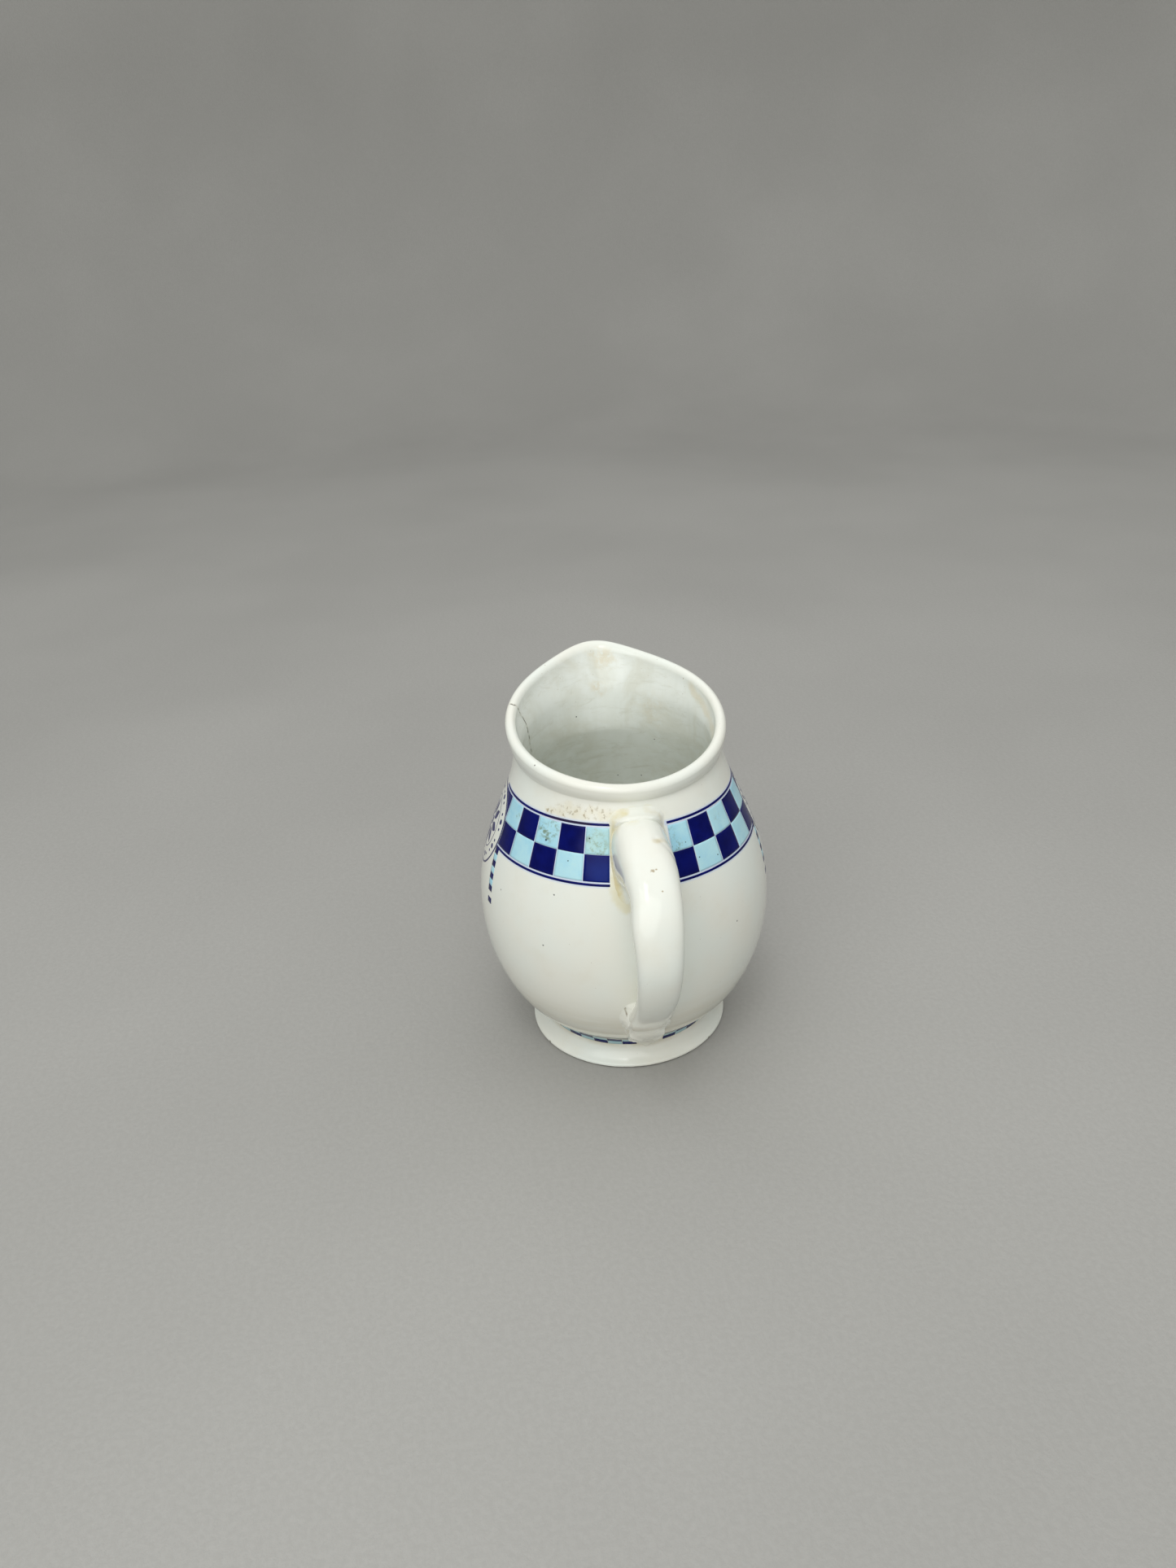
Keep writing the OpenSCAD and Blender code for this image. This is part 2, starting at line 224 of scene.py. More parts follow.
class Look:
    """A material's nodes, written as expressions. Vectors are in metres, in the jug's frame."""

    def __init__(self, name):
        self.material = bpy.data.materials.new(name)
        self.material.use_nodes = True
        self.tree = self.material.node_tree
        self.bsdf = next(n for n in self.tree.nodes if n.type == "BSDF_PRINCIPLED")
        self.place = self.node("ShaderNodeTexCoord").outputs["Object"]
        self.xyz = self.node("ShaderNodeSeparateXYZ", self.place).outputs

    def node(self, kind, *values, **settings):
        made = self.tree.nodes.new(kind)
        for key, value in settings.items():
            setattr(made, key, value)
        for socket, value in zip(made.inputs, values):
            self.put(socket, value)
        return made

    def put(self, socket, value):
        if isinstance(value, bpy.types.NodeSocket):
            self.tree.links.new(value, socket)
        elif value is not None:
            socket.default_value = value

    def math(self, operation, *values):
        return self.node("ShaderNodeMath", *values, operation=operation).outputs[0]

    def add(self, a, b):
        return self.math("ADD", a, b)

    def times(self, a, b):
        return self.math("MULTIPLY", a, b)

    def most(self, values):
        total = values[0]
        for v in values[1:]:
            total = self.math("MAXIMUM", total, v)
        return total

    def ramp(self, value, low, high, to_low=0.0, to_high=1.0):
        made = self.node("ShaderNodeMapRange", value, low, high, to_low, to_high)
        made.interpolation_type = "SMOOTHSTEP"
        return made.outputs[0]

    def mix(self, share, a, b):
        made = self.node("ShaderNodeMix", data_type="RGBA")
        self.put(made.inputs[0], share)
        self.put(made.inputs[6], a)
        self.put(made.inputs[7], b)
        return made.outputs[2]

    def moved(self, offset=(0, 0, 0), scale=(1, 1, 1)):
        made = self.node("ShaderNodeMapping", self.place)
        made.inputs["Location"].default_value = offset
        made.inputs["Scale"].default_value = scale
        return made.outputs[0]

    def noise(self, size_mm, detail=3.0, rough=0.5, twist=0.0, at=None, offset=0.0):
        made = self.node("ShaderNodeTexNoise")
        self.put(made.inputs["Vector"], at or (self.moved((offset,) * 3) if offset else self.place))
        made.inputs["Scale"].default_value = 1000 / size_mm
        made.inputs["Detail"].default_value = detail
        made.inputs["Roughness"].default_value = rough
        made.inputs["Distortion"].default_value = twist
        return made.outputs[0]

    def distance(self, centre_mm, at=None):
        made = self.node("ShaderNodeVectorMath", at or self.place, [c * MM for c in centre_mm], operation="DISTANCE")
        return made.outputs["Value"]

    def spot(self, centre_mm, radius_mm, soft=0.5, at=None):
        """1 inside a ball, falling to 0 over the outer `soft` share of its radius."""
        return self.ramp(self.distance(centre_mm, at), radius_mm * MM, radius_mm * (1 - soft) * MM)

    def segment(self, a_mm, b_mm, at=None):
        """Distance from a straight line between two points."""
        a, b = np.array(a_mm) * MM, np.array(b_mm) * MM
        ab = b - a
        ap = self.node("ShaderNodeVectorMath", at or self.place, a.tolist(), operation="SUBTRACT").outputs[0]
        dot = self.node("ShaderNodeVectorMath", ap, ab.tolist(), operation="DOT_PRODUCT").outputs["Value"]
        made = self.node("ShaderNodeMath", dot, float(1 / (ab @ ab)), operation="MULTIPLY", use_clamp=True)
        along = self.node("ShaderNodeVectorMath", ab.tolist(), operation="SCALE")
        self.put(along.inputs["Scale"], made.outputs[0])
        rest = self.node("ShaderNodeVectorMath", ap, along.outputs[0], operation="DISTANCE")
        return rest.outputs["Value"]

    def stroke(self, points_mm, radius_mm, soft=0.8, at=None):
        """1 along a polyline, falling to 0 at radius_mm from it."""
        away = self.segment(points_mm[0], points_mm[1], at)
        for a, b in zip(points_mm[1:-1], points_mm[2:]):
            away = self.math("MINIMUM", away, self.segment(a, b, at))
        return self.ramp(away, radius_mm * MM, radius_mm * (1 - soft) * MM)

    def wobbled(self, amount_mm, size_mm):
        """The place, shaken by noise, so that spots and lines get natural outlines."""
        made = self.node("ShaderNodeTexNoise", self.place)
        made.inputs["Scale"].default_value = 1000 / size_mm
        made.inputs["Detail"].default_value = 3.0
        centred = self.node("ShaderNodeVectorMath", made.outputs["Color"], (0.5, 0.5, 0.5), operation="SUBTRACT")
        scaled = self.node("ShaderNodeVectorMath", centred.outputs[0], operation="SCALE")
        scaled.inputs["Scale"].default_value = amount_mm * MM * 2
        return self.node("ShaderNodeVectorMath", self.place, scaled.outputs[0], operation="ADD").outputs[0]

    def specks(self, cell_mm, size_mm, share, offset=0.0):
        """Small round specks: one in each Voronoi cell that passes a draw."""
        made = self.node("ShaderNodeTexVoronoi")
        self.put(made.inputs["Vector"], self.moved((offset,) * 3))
        made.inputs["Scale"].default_value = 1000 / cell_mm
        edge = size_mm / cell_mm
        near = self.ramp(made.outputs["Distance"], edge, edge * 0.4)
        draw = self.node("ShaderNodeSeparateColor", made.outputs["Color"]).outputs[0]
        return self.times(near, self.math("GREATER_THAN", draw, 1 - share))

    def bump(self, parts):
        """Adds bumps from (height 0 to 1, depth in millimetres) pairs."""
        normal = None
        for height, depth in parts:
            made = self.node("ShaderNodeBump")
            made.inputs["Strength"].default_value = 1.0
            made.inputs["Distance"].default_value = depth * MM
            self.put(made.inputs["Height"], height)
            if normal is not None:
                self.put(made.inputs["Normal"], normal)
            normal = made.outputs[0]
        self.put(self.bsdf.inputs["Normal"], normal)

    def surface(self, colour, roughness):
        self.put(self.bsdf.inputs["Base Color"], colour)
        self.put(self.bsdf.inputs["Roughness"], roughness)


def rgb(r, g, b):
    """An sRGB colour of 0 to 255 as the linear colour that shaders take."""
    c = np.array([r, g, b]) / 255
    return (*np.where(c <= 0.04045, c / 12.92, ((c + 0.055) / 1.055) ** 2.4).tolist(), 1.0)


def glaze_finish(look, extra=()):
    """Gloss and orange peel of the clear glaze, the same over clay and prints."""
    peel = look.noise(1.7, 2.0, 0.5)
    waves = look.noise(9.0, 2.0, 0.5)
    look.bump([(waves, 0.05), (peel, 0.006), *extra])
    rough = look.ramp(look.noise(14.0, 4.0, 0.6), 0.3, 0.7, 0.09, 0.17)
    look.bsdf.inputs["IOR"].default_value = 1.47
    look.bsdf.inputs["Coat Weight"].default_value = 0.0
    return rough


def on_skin(angle, z, h=0.0):
    return skin_point(np.array(float(z)), np.array(float(angle)), h).tolist()


TAN = rgb(196, 178, 132)
BROWN = rgb(140, 118, 64)
DARK = rgb(52, 44, 38)
CLAY_WARM = rgb(241, 241, 232)
CLAY_COOL = rgb(238, 243, 237)


def clay_base(look):
    patches = look.ramp(look.noise(38.0, 3.0, 0.55), 0.35, 0.65)
    colour = look.mix(patches, CLAY_WARM, CLAY_COOL)
    cloud = look.times(look.ramp(look.noise(11.0, 5.0, 0.65, offset=0.3), 0.5, 0.75), 0.22)
    return look.mix(cloud, colour, rgb(230, 226, 210))


def clay_specks(look, colour):
    colour = look.mix(look.times(look.specks(2.6, 0.16, 0.3), 0.55), colour, rgb(150, 142, 120))
    return look.mix(look.times(look.specks(7.5, 0.3, 0.16, 0.07), 0.85), colour, DARK)


CRACK = [
    (10.9, 33.2, 107.4), (10.2, 31.2, 109.4), (9.4, 29.6, 109.3), (9.9, 28.1, 107.1),
    (10.5, 27.4, 104.8), (11.3, 26.5, 101.9), (11.9, 26.0, 98.6), (13.7, 25.7, 94.1), (16.5, 25.4, 89.2),
]


def body_look():
    look = Look("clay_glaze_body")
    x, y, z = look.xyz
    inside = look.node("ShaderNodeAttribute", attribute_name="inner").outputs["Fac"]
    turn = look.math("ARCTAN2", look.times(y, -1.0), look.times(x, -1.0))
    colour = clay_base(look)

    # The inside is cooler and runs into long upright streaks
    streak_place = look.moved(scale=(1.0, 1.0, 0.16))
    streaks = look.noise(5.0, 5.0, 0.65, 0.4, at=streak_place)
    inner = look.mix(look.ramp(streaks, 0.35, 0.8), rgb(244, 248, 243), rgb(237, 241, 234))
    cloud = look.ramp(look.noise(13.0, 4.0, 0.6, 0.6, offset=0.9), 0.42, 0.72, 0.0, 0.6)
    inner = look.mix(cloud, inner, rgb(224, 224, 210))
    wisps = look.ramp(look.noise(4.0, 5.0, 0.7, 0.8, at=look.moved((0.5, 0.5, 0.5), (0.5, 0.5, 1.6))), 0.5, 0.72, 0.0, 0.45)
    inner = look.mix(wisps, inner, rgb(216, 217, 204))
    shaken = look.wobbled(4.0, 9.0)
    patches = [((35.5, -1.0, 113.2), 7.0, 0.55), ((31.0, 1.6, 102.5), 3.6, 0.5), ((27.0, -17.0, 98.0), 9.0, 0.3)]
    for centre, radius, strength in patches:
        fleck = look.ramp(look.noise(3.2, 4.0, 0.7), 0.38, 0.62)
        mask = look.times(look.times(look.spot(centre, radius, 0.8, shaken), fleck), strength)
        inner = look.mix(mask, inner, rgb(218, 203, 165))
    colour = look.mix(inside, colour, inner)

    # Pinholes and their dark centres
    colour = clay_specks(look, colour)
    holes = [on_skin(140.2, 51.9), on_skin(219.3, 52.9), (28.1, 9.3, 95.1), (14.4, -24.7, 97.2)]
    holes += [(38.5, -4.7, 67.5), (36.8, -12.5, 67.4), (27.6, -15.8, 84.7), on_skin(144.0, 68.0)]
    pits = look.most([look.spot(c, 0.3, 0.6) for c in holes])
    colour = look.mix(look.times(pits, 0.85), colour, rgb(48, 46, 46))

    # Brown flecks over the band, and tan stain round the handle's joint
    fleck_place = look.wobbled(1.6, 2.2)
    flecks = [(141.0, 90.3, 3.4), (137.5, 89.7, 2.4), (146.0, 92.2, 2.6), (150.0, 91.2, 3.2),
              (154.6, 90.4, 2.4), (133.5, 89.5, 1.6), (158.0, 92.4, 2.2), (163.0, 91.4, 3.4), (167.0, 90.6, 3.0)]
    brown = look.most([look.spot(on_skin(a, h), r, 0.9, fleck_place) for a, h, r in flecks])
    crumbs = look.ramp(look.noise(1.3, 4.0, 0.7, offset=0.4), 0.53, 0.64)
    colour = look.mix(look.times(brown, 0.3), colour, rgb(222, 208, 166))
    colour = look.mix(look.times(look.times(brown, crumbs), 0.72), colour, BROWN)
    joint_place = look.wobbled(2.5, 5.0)
    left_seam = [on_skin(a, h) for a, h in ((176, 91.5), (170.5, 90), (169.3, 83), (169.3, 76), (170.2, 69), (173, 66))]
    right_seam = [on_skin(a, h) for a, h in ((186, 92), (190.5, 89), (191, 82))]
    tan = look.math("MAXIMUM", look.stroke(left_seam, 2.8, 0.8, joint_place), look.times(look.stroke(right_seam, 2.4, 0.8, joint_place), 0.6))
    colour = look.mix(look.times(tan, 0.6), colour, rgb(230, 222, 184))
    # Painted shade low on the belly, darker towards the foot, in faint turning arcs
    rings = look.ramp(look.noise(2.6, 3.0, 0.5, at=look.moved(scale=(0.12, 0.12, 1.0))), 0.4, 0.65)
    low_shade = look.times(look.ramp(z, 0.036, 0.012), look.add(look.times(rings, 0.2), 0.24))
    colour = look.mix(look.times(low_shade, look.add(look.times(inside, -1.0), 1.0)), colour, rgb(196, 184, 150))
    # Painted shade at the waist, under the belly, strongest 9.5 mm up
    shade = look.ramp(look.math("ABSOLUTE", look.add(z, -0.0095)), 0.006, 0.0, 0.0, 0.6)
    colour = look.mix(shade, colour, rgb(196, 184, 158))

    # Blue that bled into the glaze beside the border lines
    side = look.times(look.math("SIGN", turn), look.math("LESS_THAN", look.math("ABSOLUTE", turn), math.radians(88)))
    level = look.add(look.add(z, -79.7 * MM), look.times(side, 0.5 * MM))
    from_line = look.math("ABSOLUTE", look.add(look.math("ABSOLUTE", level), -7.85 * MM))
    bleed = look.times(look.ramp(from_line, 1.1 * MM, 0.3 * MM), look.math("GREATER_THAN", look.math("ABSOLUTE", turn), math.radians(13.4)))
    across = look.add(look.times(x, -0.996), look.times(look.math("ABSOLUTE", y), 0.087))
    off_medal = look.math("SQRT", look.add(look.math("POWER", across, 2.0), look.math("POWER", look.add(z, -MEDAL_Z * MM), 2.0)))
    off_medal = look.math("GREATER_THAN", off_medal, MEDAL_R * MM)
    past_band = look.math("ABSOLUTE", look.add(look.math("ABSOLUTE", turn), math.radians(-98.9)))
    off_medal = look.times(off_medal, look.math("GREATER_THAN", past_band, math.radians(9.2)))
    field = look.times(look.ramp(look.math("ABSOLUTE", level), 7.6 * MM, 7.3 * MM), look.math("GREATER_THAN", look.math("ABSOLUTE", look.add(turn, math.radians(-0.75))), math.radians(13.65)))
    bleed = look.math("MAXIMUM", look.times(bleed, 0.8), look.times(field, 0.9))
    colour = look.mix(look.times(look.times(bleed, off_medal), look.add(look.times(inside, -1.0), 1.0)), colour, rgb(204, 216, 242))

    # Rim: a thinner, slightly worn glaze with brown dots along its crest
    rim = look.ramp(z, 0.1025, 0.1065)
    worn = look.times(look.times(rim, look.math("MAXIMUM", look.specks(3.4, 0.3, 0.3, 0.21), look.specks(1.6, 0.16, 0.3, 0.37))), 0.6)
    colour = look.mix(worn, colour, rgb(160, 140, 105))

    rub = look.stroke([(-14, -26, 97), (-4.6, -28.0, 99.5), (5, -28.6, 103), (16, -27, 107)], 3.0, 0.9, shaken)
    colour = look.mix(look.times(rub, 0.4), colour, rgb(222, 206, 168))

    # The hairline crack over the rim and down the inside
    crack_place = look.wobbled(0.5, 2.0)
    away = look.segment(CRACK[0], CRACK[1], crack_place)
    for a, b in zip(CRACK[1:-1], CRACK[2:]):
        away = look.math("MINIMUM", away, look.segment(a, b, crack_place))
    crack = look.ramp(away, 0.25 * MM, 0.1 * MM)
    colour = look.mix(look.times(look.ramp(away, 0.9 * MM, 0.1 * MM), 0.25), colour, rgb(176, 168, 140))
    colour = look.mix(look.times(crack, 0.92), colour, rgb(52, 48, 40))

    rough = glaze_finish(look, [(look.times(crack, -1.0), 0.08), (look.times(pits, -1.0), 0.15)])
    look.surface(colour, rough)
    return look.material


def clay_look(name, strokes, spots=(), pits=()):
    """Glazed clay with stains and painted shade: strokes are (points, radius, strength, colour) and spots are
    (x, y, z, radius, strength, colour), in millimetres."""
    look = Look(name)
    colour = clay_base(look)
    colour = clay_specks(look, colour)
    shaken = look.wobbled(1.6, 4.0)
    mottle = look.ramp(look.noise(4.0, 4.0, 0.6, offset=0.2), 0.3, 0.65, 0.45, 1.0)
    for points, radius, strength, tint in strokes:
        mask = look.times(look.stroke(points, radius, 0.85, shaken), mottle)
        colour = look.mix(look.times(mask, strength), colour, tint)
    for x, y, z, radius, strength, tint in spots:
        mask = look.times(look.spot((x, y, z), radius, 0.85, shaken), mottle)
        colour = look.mix(look.times(mask, strength), colour, tint)
    finish = []
    if pits:
        small = look.most([look.spot(p[:3], p[3], 0.7, look.wobbled(0.7, 1.2)) for p in pits])
        colour = look.mix(look.times(small, 0.75), colour, rgb(158, 134, 88))
        finish = [(look.times(small, -1.0), 0.06)]
    look.surface(colour, glaze_finish(look, finish))
    return look.material


def foot_look():
    look = Look("clay_glaze_foot")
    x, y, z = look.xyz
    colour = clay_specks(look, clay_base(look))
    # Tan patches on the foot, stronger towards the waist
    near_waist = look.ramp(z, 0.0045, 0.0068, 0.0, 0.5)
    colour = look.mix(look.times(near_waist, look.ramp(look.noise(9.0, 4.0, 0.6), 0.3, 0.6)), colour, rgb(196, 180, 145))
    # Under the foot the glaze is wiped off, and the bare clay is grey and rough
    bare = look.ramp(look.add(z, look.times(look.noise(2.2, 4.0, 0.6), -0.0005)), 0.0004, 0.0001)
    colour = look.mix(bare, colour, rgb(98, 92, 76))
    chips = look.times(look.ramp(z, 0.0016, 0.0007), look.specks(3.2, 0.75, 0.35, 0.13))
    colour = look.mix(look.times(chips, 0.7), colour, rgb(120, 112, 96))
    rough = glaze_finish(look)
    look.surface(colour, look.math("MAXIMUM", rough, look.times(bare, 0.8)))
    return look.material


def cobalt_look():
    look = Look("cobalt_print")
    look.bsdf.inputs["Specular IOR Level"].default_value = 0.14
    tone = look.ramp(look.noise(6.0, 3.0, 0.55), 0.3, 0.7)
    colour = look.mix(tone, rgb(3, 8, 78), rgb(6, 16, 100))
    # The check beside the handle is washed out to a lighter blue near its lower edge
    wash = look.times(look.spot(on_skin(163, 75.5), 6.5, 0.9, look.wobbled(1.5, 4.0)), 0.75)
    colour = look.mix(wash, colour, rgb(10, 40, 130))
    grain = look.times(look.ramp(look.noise(0.7, 3.0, 0.6), 0.55, 0.8), 0.18)
    colour = look.mix(grain, colour, rgb(28, 40, 120))
    colour = look.mix(look.times(look.specks(5.0, 0.3, 0.2, 0.11), 0.5), colour, rgb(120, 126, 160))
    look.surface(colour, glaze_finish(look))
    return look.material


def line_look():
    look = Look("cobalt_line")
    look.bsdf.inputs["Specular IOR Level"].default_value = 0.14
    tone = look.ramp(look.noise(5.0, 3.0, 0.6), 0.3, 0.7)
    colour = look.mix(tone, rgb(6, 10, 84), rgb(10, 20, 108))
    brown = look.times(look.spot(on_skin(146, 88.2), 9.0, 0.6, look.wobbled(3.0, 3.0)), 0.7)
    colour = look.mix(brown, colour, rgb(54, 44, 50))
    look.surface(colour, glaze_finish(look))
    return look.material


def sky_look():
    look = Look("sky_print")
    look.bsdf.inputs["Specular IOR Level"].default_value = 0.3
    tone = look.ramp(look.noise(7.0, 4.0, 0.6), 0.3, 0.7)
    colour = look.mix(tone, rgb(166, 219, 240), rgb(187, 231, 242))
    grain = look.times(look.ramp(look.noise(0.8, 3.0, 0.65), 0.5, 0.8), 0.3)
    colour = look.mix(grain, colour, rgb(206, 234, 234))
    # Greenish brown stain that settled in some of the checks
    place = look.wobbled(2.0, 3.0)
    grime = [(137.0, 84.6, 4.6, 0.8), (133.5, 83.4, 3.0, 0.8), (113.5, 83.9, 1.7, 1.0), (160.5, 83.0, 5.5, 0.6),
             (163.5, 80.5, 4.0, 0.45), (196.5, 80.5, 3.2, 0.7), (195.0, 84.5, 3.0, 0.45), (225.0, 83.0, 3.0, 0.25)]
    netted = look.ramp(look.noise(1.5, 5.0, 0.75, offset=0.5), 0.46, 0.62)
    for a, h, r, amount in grime:
        mask = look.times(look.times(look.spot(on_skin(a, h), r, 0.7, place), netted), amount)
        colour = look.mix(mask, colour, rgb(122, 140, 112))
    yellow = look.times(look.spot(on_skin(162.0, 83.5), 7.0, 0.8, place), 0.35)
    colour = look.mix(yellow, colour, rgb(178, 202, 176))
    dots = [(135.9, 81.7, 0.42), (148.5, 77.8, 0.24), (157.6, 84.3, 0.28), (206.8, 75.8, 0.26), (216.4, 74.3, 0.26), (201.9, 80.8, 0.2)]
    pits = look.most([look.spot(on_skin(a, h), r, 0.5) for a, h, r in dots])
    colour = look.mix(look.times(pits, 0.9), colour, rgb(34, 40, 52))
    # Painted shade: the light checks of the foot band, under the belly, darkened to grey-blue
    colour = look.mix(look.ramp(look.xyz[2], 0.014, 0.0105, 0.0, 0.5), colour, rgb(158, 172, 168))
    look.surface(colour, glaze_finish(look, [(look.times(pits, -1.0), 0.1)]))
    return look.material


# ---- body ---------------------------------------------------------------------------------

AROUND = 384


def make_body(material):
    under = np.array([(PLUG_R - 0.3, RECESS), (PLUG_R, RECESS + 0.3), (PLUG_R, WAIST_Z - 0.4), (WAIST_R - 1.6, WAIST_Z - 0.1)])
    disc = np.array([(r, RECESS + 0.25 * (1 - r / PLUG_R)) for r in (0.4, 6, 12, 18, 22)])
    floor = np.array([(r, FLOOR_Z + 0.2 * (r / 20) ** 2) for r in (16, 12, 8, 4, 0.4)])
    outside = np.vstack([disc, under, waist_curve, lower_curve, upper_curve, neck_curve, bead_arc])
    inside = np.vstack([mouth_curve, inner_upper, inner_lower, floor])
    section = np.vstack([outside, inside])
    a = np.arange(AROUND) * 360 / AROUND
    r, z = section[:, 0][:, None], section[:, 1][:, None]
    points = wall(r, z, a[None, :])
    rows = len(section)
    faces = strip_faces(rows, AROUND)
    faces.append(tuple(range(AROUND))[::-1])
    last = (rows - 1) * AROUND
    faces.append(tuple(range(last, last + AROUND)))
    piece = make_piece("jug_body", points.reshape(-1, 3), faces, "body", material)
    inner = np.zeros(rows)
    start = len(outside) - 12
    inner[start:] = ease(np.arange(rows - start), 0, 16)
    values = np.repeat(inner, AROUND).astype(np.float32)
    attribute = piece.data.attributes.new("inner", "FLOAT", "POINT")
    attribute.data.foreach_set("value", values)
    return piece


def make_foot(material):
    edge = arc((FOOT_R - 0.7, 0.7), 0.7, 15, -90, 10)
    under = np.array([(FOOT_R - 2.2, 0.0), (FOOT_R - 3.6, 0.02), (FOOT_R - 4.6, 0.12), (FOOT_R - 5.2, 0.45),
                      (FOOT_R - 5.6, 1.0), (PLUG_R + 0.6, 2.2), (PLUG_R + 0.1, RECESS - 0.7), (PLUG_R, RECESS + 0.5),
                      (PLUG_R, WAIST_Z - 0.4), (WAIST_R - 1.6, WAIST_Z - 0.1)])
    section = np.vstack([flare_curve, edge, under])
    a = np.arange(AROUND) * 360 / AROUND
    points = wall(section[:, 0][:, None], section[:, 1][:, None], a[None, :])
    rows = len(section)
    faces = strip_faces(rows, AROUND, flip=True)
    for j in range(AROUND):
        k = (j + 1) % AROUND
        last = (rows - 1) * AROUND
        faces.append((j, k, last + k, last + j))
    return make_piece("jug_foot_ring", points.reshape(-1, 3), faces, "foot_ring", material)


# ---- handle -------------------------------------------------------------------------------

HANDLE_IN = HANDLE_REACH - HANDLE_T
OUTER_TOP = [(31, 91), (52, 90.5), (HANDLE_REACH, 80), (HANDLE_REACH, HANDLE_Z)]
OUTER_LOW = [(HANDLE_REACH, HANDLE_Z), (HANDLE_REACH, HANDLE_Z - 16), (48, 29), (33, 13.5)]
INNER_TOP = [(35, 65), (46, 80), (HANDLE_IN, 77), (HANDLE_IN, HANDLE_Z)]
INNER_LOW = [(HANDLE_IN, HANDLE_Z), (HANDLE_IN, HANDLE_Z - 12), (48, 40), (37, 25)]


def handle_points(steps=170, sides=120):
    out = np.vstack([bezier(OUTER_TOP, steps), bezier(OUTER_LOW, steps, 1)])
    inn = np.vstack([bezier(INNER_TOP, steps), bezier(INNER_LOW, steps, 1)])
    t = np.linspace(0, 1, len(out))
    half = HANDLE_W + (HANDLE_LOW_W - HANDLE_W) * ease(t, 0.25, 0.85)
    half = (half - 1.2 * (1 - ease(t, 0, 0.2)) + 2.4 * ease(t, 0.86, 1)) / 2
    a = np.radians(np.arange(sides) * 360 / sides)
    u = np.sign(np.cos(a)) * np.abs(np.cos(a)) ** 0.8
    v = np.sign(np.sin(a)) * np.abs(np.sin(a)) ** 0.8 * (1 - 0.12 * (1 - u) / 2)
    centre, arm = (out + inn) / 2, (out - inn) / 2
    path = centre[:, None, :] + arm[:, None, :] * u[None, :, None]
    y = half[:, None] * v[None, :]
    slim = 0.07 * ease(t, 0.3, 0.5) * (1 - ease(t, 0.75, 0.92)) + 0.14 * np.exp(-(((t - 0.28) / 0.07) ** 2))
    left = 0.22 * (1 - ease(t, 0.04, 0.19)) - slim
    right = 0.26 * (1 - ease(t, 0.0, 0.6))
    y = y * (1 + np.where(y > 0, left[:, None], right[:, None]))
    points = np.stack([-path[..., 0], y, path[..., 1]], -1)
    # A pinch dent on the right of the upper face, and slow unevenness of a pulled strap
    dent = np.array([-42.0, -5.6, 85.5])
    reach = np.linalg.norm((points - dent) / np.array([5.0, 3.0, 3.2]), axis=-1)
    face = np.clip(u, 0, 1)[None, :]
    depth = 0.75 * np.exp(-reach**2) * face
    depth += 0.12 * (np.sin(t * 21 + 1)[:, None] * 0.5 + np.sin(t * 47)[:, None] * 0.25 + 0.75) * face
    groove = [(-43.6, -3.4, 88.6), (-44.6, -4.6, 87.8), (-47.2, -7.0, 85.6), (-49.5, -8.6, 83.0)]
    away = np.full(points.shape[:2], 99.0)
    for p, q in zip(groove[:-1], groove[1:]):
        p, q = np.array(p), np.array(q)
        along = np.clip(((points - p) @ (q - p)) / ((q - p) @ (q - p)), 0, 1)
        away = np.minimum(away, np.linalg.norm(points - p - along[..., None] * (q - p), axis=-1))
    depth += 0.32 * np.exp(-((away / 0.75) ** 2))
    points[..., 0] += depth * 0.6
    points[..., 2] -= depth * 0.8 * (1 - ease(t, 0.2, 0.4))[:, None]
    inward = np.array([14.0, 0.0, 0.0])
    return np.concatenate([points[:1] + inward, points, points[-1:] + inward])


def stop_in_wall(points):
    """What would reach through the jug's wall ends inside it, the two end rings deepest."""
    stopped = points.copy()
    depth = np.full(points.shape[:2], 1.4)
    depth[[0, -1]] = 2.0
    least = profile_r(points[..., 2]) - depth
    stopped[..., 0] = np.minimum(points[..., 0], -np.sqrt(np.clip(least**2 - points[..., 1] ** 2, 0, None)))
    return stopped


def make_handle(material):
    points = handle_points()
    rows, sides = points.shape[:2]
    faces = strip_faces(rows, sides, flip=True)
    faces.append(tuple(range(sides)))
    faces.append(tuple(range((rows - 1) * sides, rows * sides))[::-1])
    full = points.reshape(-1, 3)
    tree = BVHTree.FromPolygons(full.tolist(), outward(full, faces))
    piece = make_piece("jug_handle", stop_in_wall(points).reshape(-1, 3), faces, "handle", material)
    return piece, tree


def blurred_noise(shape, size, seed):
    rng = np.random.default_rng(seed)
    grid = rng.standard_normal(shape)
    for axis in (0, 1):
        kernel = np.exp(-np.linspace(-2, 2, size) ** 2)
        kernel /= kernel.sum()
        grid = np.apply_along_axis(lambda v: np.convolve(v, kernel, "same"), axis, grid)
    return grid / grid.std()


